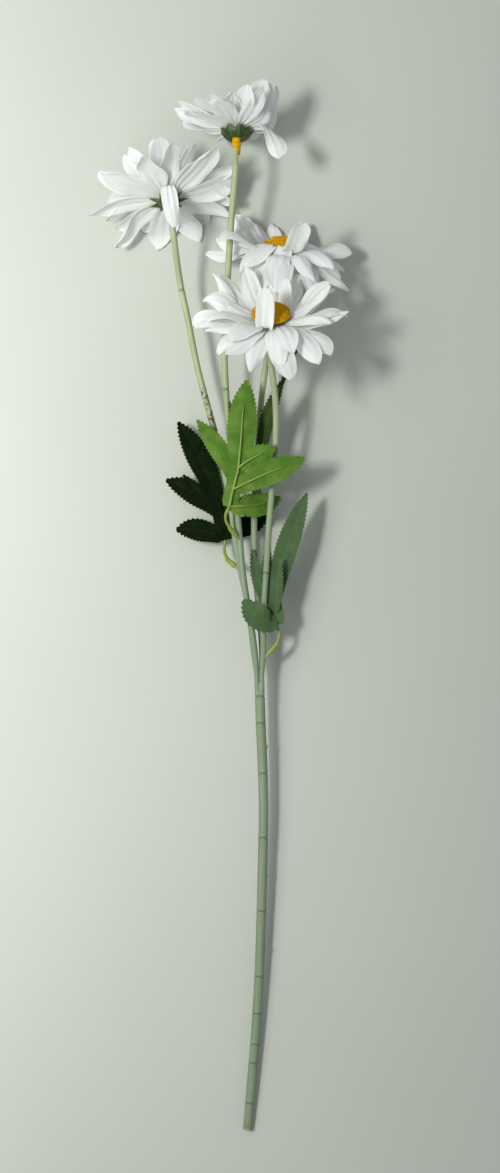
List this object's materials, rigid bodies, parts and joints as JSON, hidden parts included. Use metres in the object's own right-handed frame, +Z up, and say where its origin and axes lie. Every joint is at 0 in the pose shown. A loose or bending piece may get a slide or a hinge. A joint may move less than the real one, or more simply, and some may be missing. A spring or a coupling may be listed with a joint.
{
  "type": "artificial daisy spray",
  "caption": "Spray of artificial white daisies: fabric petals and lobed leaves on branching plastic stems, lying on a surface.",
  "frame": {"origin": "centre of the bounding box in X and Y, on the surface that the spray lies on", "axes": "+Y from the cut end of the stem to the flowers, +Z up from the surface, +X to the right seen from above"},
  "size_m": [0.1632, 0.6582, 0.1052],
  "materials": {
    "stem_plastic": "satin",
    "wire_steel": "dull",
    "petal_fabric": "satin weave",
    "centre_plastic": "flocked",
    "calyx_plastic": "satin",
    "leaf_fabric": "matte weave",
    "rib_plastic": "satin"
  },
  "bodies": {
    "root": {"stem_lower": "stem_plastic", "stem_1": "stem_plastic", "wire_1": "wire_steel", "petals_1": "petal_fabric", "centre_1": "centre_plastic", "calyx_1": "calyx_plastic", "stem_2": "stem_plastic", "wire_2": "wire_steel", "petals_2": "petal_fabric", "centre_2": "centre_plastic", "calyx_2": "calyx_plastic", "stem_3": "stem_plastic", "wire_3": "wire_steel", "petals_3": "petal_fabric", "centre_3": "centre_plastic", "calyx_3": "calyx_plastic", "stem_4": "stem_plastic", "wire_4": "wire_steel", "petals_4": "petal_fabric", "centre_4": "centre_plastic", "calyx_4": "calyx_plastic", "leaf_blade_a": "leaf_fabric", "leaf_ribs_a": "rib_plastic", "leaf_blade_b": "leaf_fabric", "leaf_ribs_b": "rib_plastic", "leaf_blade_c": "leaf_fabric", "leaf_ribs_c": "rib_plastic", "leaf_blade_d": "leaf_fabric", "leaf_ribs_d": "rib_plastic"}
  },
  "joints": []
}
